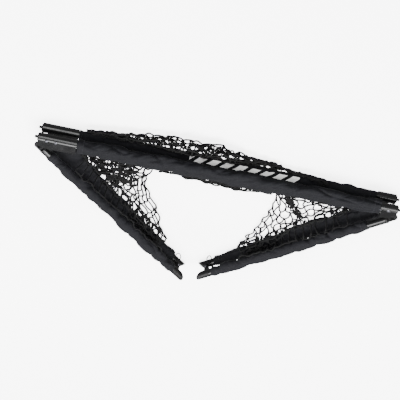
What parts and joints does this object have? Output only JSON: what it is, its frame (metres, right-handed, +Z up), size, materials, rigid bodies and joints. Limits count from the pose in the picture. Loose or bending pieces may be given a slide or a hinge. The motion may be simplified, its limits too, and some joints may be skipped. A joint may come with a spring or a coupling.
{
  "type": "folding floorball goal",
  "caption": "Small folding goal, folded flat: crossbar, hinged posts, base rails, cloth sleeves over steel tubes, and bunched black net",
  "frame": {"origin": "the middle of the folded goal's footprint, on the surface that it lies on", "axes": "+X along the crossbar to its right end, +Y from the feet towards the crossbar, +Z up through the stack of the two frames"},
  "size_m": [0.931, 0.4711, 0.0675],
  "materials": {
    "black_paint": "glossy black powder coat on steel tube",
    "black_plastic": "satin black moulded nylon",
    "rivet_steel": "dark plated steel",
    "sleeve_cloth": "dark grey woven polyester",
    "net_cord": "black twisted polyethylene cord"
  },
  "bodies": {
    "rear_rail": {"rear_rail_tube": "black_paint", "rear_rail_end_left": "black_plastic", "rear_rail_end_right": "black_plastic", "rear_corner_left": "black_paint", "rear_corner_right": "black_paint", "rear_rail_sleeve": "sleeve_cloth"},
    "front_bar": {"crossbar_tube": "black_paint", "crossbar_end_left": "black_plastic", "crossbar_end_right": "black_plastic", "corner_bracket_left": "black_paint", "corner_bracket_right": "black_paint", "bracket_rivet_left_1": "rivet_steel", "bracket_rivet_left_2": "rivet_steel", "bracket_rivet_right_1": "rivet_steel", "bracket_rivet_right_2": "rivet_steel", "pivot_rivet_left": "black_paint", "pivot_rivet_right": "black_paint", "crossbar_sleeve": "sleeve_cloth", "back_net": "net_cord", "front_net": "net_cord"},
    "left_post": {"left_post_tube": "black_paint", "left_post_eye": "black_plastic", "left_post_foot": "black_plastic", "left_hinge_pin": "rivet_steel", "left_post_sleeve": "sleeve_cloth", "left_side_net": "net_cord"},
    "right_post": {"right_post_tube": "black_paint", "right_post_eye": "black_plastic", "right_post_foot": "black_plastic", "right_hinge_pin": "rivet_steel", "right_post_sleeve": "sleeve_cloth", "right_side_net": "net_cord"},
    "left_side_rail": {"left_side_rail_tube": "black_paint", "left_rear_hook": "black_plastic", "left_hook_rivet_1": "rivet_steel", "left_hook_rivet_2": "rivet_steel", "left_side_rail_foot": "black_plastic", "left_side_rail_sleeve": "sleeve_cloth", "left_tie_cord": "net_cord"},
    "right_side_rail": {"right_side_rail_tube": "black_paint", "right_rear_hook": "black_plastic", "right_hook_rivet_1": "rivet_steel", "right_hook_rivet_2": "rivet_steel", "right_side_rail_foot": "black_plastic", "right_side_rail_sleeve": "sleeve_cloth", "right_tie_cord": "net_cord"}
  },
  "joints": [
    {"name": "front_frame_swing", "type": "hinge", "parent": "rear_rail", "child": "front_bar", "pos_m": [0, -0.40025, 0.0331], "axis": [1, 0, 0], "range_deg": [0, 90], "deforming": ["back_net"]},
    {"name": "left_post_fold", "type": "hinge", "parent": "front_bar", "child": "left_post", "pos_m": [-0.45, 0.12975, 0.0516], "axis": [0, 0, -1], "range_deg": [-1, 49.6], "deforming": ["left_side_net"]},
    {"name": "right_post_fold", "type": "hinge", "parent": "front_bar", "child": "right_post", "pos_m": [0.45, 0.12975, 0.0516], "axis": [0, 0, 1], "range_deg": [-1, 51.61], "deforming": ["right_side_net"]},
    {"name": "left_side_rail_swing", "type": "hinge", "parent": "left_post", "child": "left_side_rail", "pos_m": [-0.0464, -0.21377, 0.0331], "axis": [-0.6482, -0.7615, 0], "range_deg": [0, 90], "deforming": ["left_side_net"]},
    {"name": "right_side_rail_swing", "type": "hinge", "parent": "right_post", "child": "right_side_rail", "pos_m": [0.0346, -0.19941, 0.0331], "axis": [-0.621, 0.7838, 0], "range_deg": [0, 90], "deforming": ["right_side_net"]}
  ]
}
